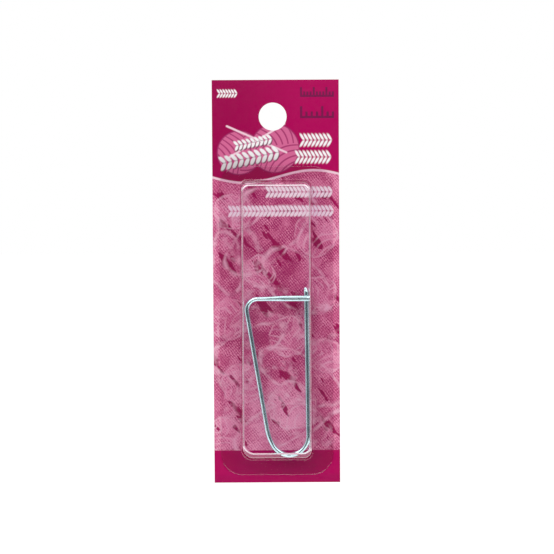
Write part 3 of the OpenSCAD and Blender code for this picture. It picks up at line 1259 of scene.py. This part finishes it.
    def build_pin(self) -> Object:
        """Bends the wire from the loop's lowest point up the pin to its tip.

        Returns:
            The springing piece.
        """
        inwards = Vector((0, -1, 0))
        wire = WireBender(self.radius, self.sides, self.loop_foot, Vector((1, 0, 0)))
        wire.bend(self.loop, inwards, pi / 2, steps=28)
        leg = self.pin - wire.centre
        wire.turn_section(wire.heading.rotation_difference(leg.normalized()).to_matrix())
        wire.heading = leg.normalized()
        wire.straight(leg.length + self.flat_tall - self.radius, steps=24)
        wire.bend(wire.centre - Vector((self.tip_bend, 0, 0)), inwards, self.tip_lean, steps=4)
        rest = (node_box("pin_tip")[1].z - wire.centre.z) / cos(self.tip_lean)
        taper = rest * 0.5
        wire.straight(rest - taper - self.tip_radius)
        for _ in range(self.tip_steps):
            wire.step(taper / self.tip_steps)
            wire.shrink((self.tip_radius / self.radius) ** (1 / self.tip_steps))
        wire.round_end(self.tip_radius, steps=6)
        piece = add_piece("pin_wire", wire.finish(), self.material)
        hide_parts("pin_leg", "pin_tip")
        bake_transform(piece)
        return piece


def look_from(aim: Vector, azimuth: float, elevation: float, distance: float) -> Matrix:
    """Places something at a distance from a point and turns it towards the point.

    Args:
        aim: The point, in metres.
        azimuth: How far round to the right of the front it is, in radians.
        elevation: How far up it is, in radians.
        distance: How far away it is, in metres.

    Returns:
        Its place and turn.
    """
    back = Vector((sin(azimuth) * cos(elevation), -cos(azimuth) * cos(elevation), sin(elevation)))
    return Matrix.Translation(aim + back * distance) @ (-back).to_track_quat("-Z", "Y").to_matrix().to_4x4()


@dataclass(frozen=True)
class PhotoCamera:
    """The camera, almost face on and a little above the card."""

    distance: float = 600.0
    elevation: float = radians(3.5)
    roll: float = radians(0.33)
    frame_width: float = 157.9
    aim_x: float = 0.98
    aim_z: float = -45.6
    sensor: float = 36.0

    def build(self) -> None:
        """Makes the camera and gives it to the scene."""
        data = bpy.data.cameras.new("photo_camera")
        data.type = "PERSP"
        data.sensor_width = self.sensor
        data.lens = self.sensor * self.distance / self.frame_width
        data.clip_start = 0.01
        camera = bpy.data.objects.new("photo_camera", data)
        aim = Vector((self.aim_x, 0.0, self.aim_z)) * MM
        look = look_from(aim, 0.0, self.elevation, self.distance * MM)
        camera.matrix_world = look @ Matrix.Rotation(-self.roll, 4, "Z")
        bpy.context.scene.collection.objects.link(camera)
        bpy.context.scene.camera = camera


@dataclass(frozen=True)
class SoftLamp:
    """One square studio lamp, with its angles in degrees, and its distance and size in metres."""

    name: str
    azimuth: float
    elevation: float
    distance: float
    size: float
    power: float


def seen_share(wiring: Wiring) -> Value:
    """Tells rays that see or reflect the studio from those that light something.

    Args:
        wiring: The tree to add to.

    Returns:
        1 for a camera, glossy or transmission ray that no matt surface has scattered.
    """
    kinds = ("Is Camera Ray", "Is Glossy Ray", "Is Transmission Ray")
    seen = wiring.highest(*(wiring.path(kind) for kind in kinds))
    return seen * (wiring.path("Diffuse Depth") < ONCE)


@dataclass
class Studio:
    """A white floor and backdrop, soft lamps, and a dark screen that only reflections show."""

    aim: Vector = field(default_factory=lambda: Vector((0.0, 0.0, -0.05)))
    floor_drop: float = 85.0
    room: float = 3.0
    ambient: float = 0.55
    floor_lift: float = 0.5
    lamps: tuple = (
        SoftLamp("key", -35.0, 48.0, 0.9, 0.7, 3.4),
        SoftLamp("fill", 48.0, 30.0, 1.1, 0.8, 2.2),
    )
    screen_radius: float = 420.0
    screen_from: float = radians(-60)
    screen_to: float = radians(78)
    screen_top: float = 30.0
    dark_half: float = 95.0
    grey_from: float = 161.5
    screen_grey: tuple = (0.16, 0.17, 0.195, 1.0)
    screen_dark: tuple = (0.065, 0.066, 0.072, 1.0)

    def build(self) -> None:
        """Builds the whole studio."""
        bpy.context.scene.view_settings.view_transform = "Standard"
        self.build_world()
        floor_z = node_box("backing_card")[0].z - self.floor_drop
        self.build_floor(floor_z)
        self.build_screen(floor_z)
        for lamp in self.lamps:
            self.build_lamp(lamp)

    def build_world(self) -> None:
        """Makes the world: white where it is seen or reflected, and dimmer as a light."""
        world = bpy.data.worlds.new("studio")
        bpy.context.scene.world = world
        world.use_nodes = True
        wiring = Wiring(world.node_tree)
        background = world.node_tree.nodes["Background"]
        background.inputs["Color"].default_value = (1, 1, 1, 1)
        strength = seen_share(wiring) * (1.0 - self.ambient) + self.ambient
        wiring.feed(background.inputs["Strength"], strength)

    def build_floor(self, height: float) -> None:
        """Lays a plain white floor below the hanging card.

        Args:
            height: The floor's height.
        """
        mesh = bmesh.new()
        place = Matrix.Translation((0, 0, height))
        bmesh.ops.create_grid(mesh, x_segments=1, y_segments=1, size=self.room / MM, matrix=place)
        paint = MaterialTree("floor")
        paint.set({
            "Base Color": (0.94, 0.94, 0.94, 1),
            "Roughness": 0.9,
            "Specular IOR Level": 0.0,
            "Emission Color": (1, 1, 1, 1),
            "Emission Strength": seen_share(paint) * self.floor_lift,
        })
        floor = add_piece("floor", mesh, paint.material, smooth=False)

    def build_screen(self, floor_z: float) -> None:
        """Hangs a curved grey screen in front, for the dark cores of bright wire and against glare.

        Args:
            floor_z: The floor's height.
        """
        mesh = bmesh.new()
        start = mesh.verts.new((0, -self.screen_radius, floor_z))
        end = mesh.verts.new((0, -self.screen_radius, self.screen_top))
        edge = mesh.edges.new((start, end))
        turn = Matrix.Rotation(self.screen_from, 3, "Z")
        bmesh.ops.rotate(mesh, cent=(0, 0, 0), matrix=turn, verts=mesh.verts)
        bmesh.ops.spin(
            mesh, geom=[start, end, edge], cent=(0, 0, 0), axis=(0, 0, 1),
            angle=self.screen_to - self.screen_from, steps=36, use_duplicate=False,
        )
        screen = add_piece("screen", mesh, self.make_screen_material())
        screen.visible_camera = False
        screen.visible_diffuse = False
        screen.visible_shadow = False

    def make_screen_material(self) -> Material:
        """Makes the screen's cloth, which only rays that something bright has reflected can see.

        Returns:
            The finished material.
        """
        cloth = MaterialTree("screen_cloth")
        cloth.tree.nodes.remove(cloth.shader)
        side = abs(cloth.split(cloth.here())[0])
        outer = cloth.ramp(side, self.dark_half * MM, self.grey_from * MM)
        glow = cloth.get("Emission", {"Color": cloth.blend(outer, self.screen_dark, self.screen_grey)})
        cloth.show_mix(cloth.path("Glossy Depth") > ONCE, cloth.get("BsdfTransparent"), glow)
        return cloth.material

    def build_lamp(self, lamp: SoftLamp) -> None:
        """Hangs one soft lamp that points at the card.

        Args:
            lamp: The lamp.
        """
        data = bpy.data.lights.new(lamp.name, "AREA")
        data.shape = "SQUARE"
        data.size = lamp.size
        data.energy = lamp.power
        light = bpy.data.objects.new(lamp.name, data)
        azimuth, elevation = radians(lamp.azimuth), radians(lamp.elevation)
        light.matrix_world = look_from(self.aim, azimuth, elevation, lamp.distance)
        bpy.context.scene.collection.objects.link(light)


def main() -> None:
    """Builds the pieces in order, dresses them and reports each one."""
    logging.basicConfig(level=logging.INFO, format="%(name)s: %(message)s")
    PhotoCamera().build()
    Studio().build()
    PrintedCard().dress()
    pieces = [ClearBlister().build(), *WireHolder().build()]
    for piece in pieces:
        LOG.info("%s: %d faces", piece.name, len(piece.data.polygons))


if __name__ == "__main__":
    main()
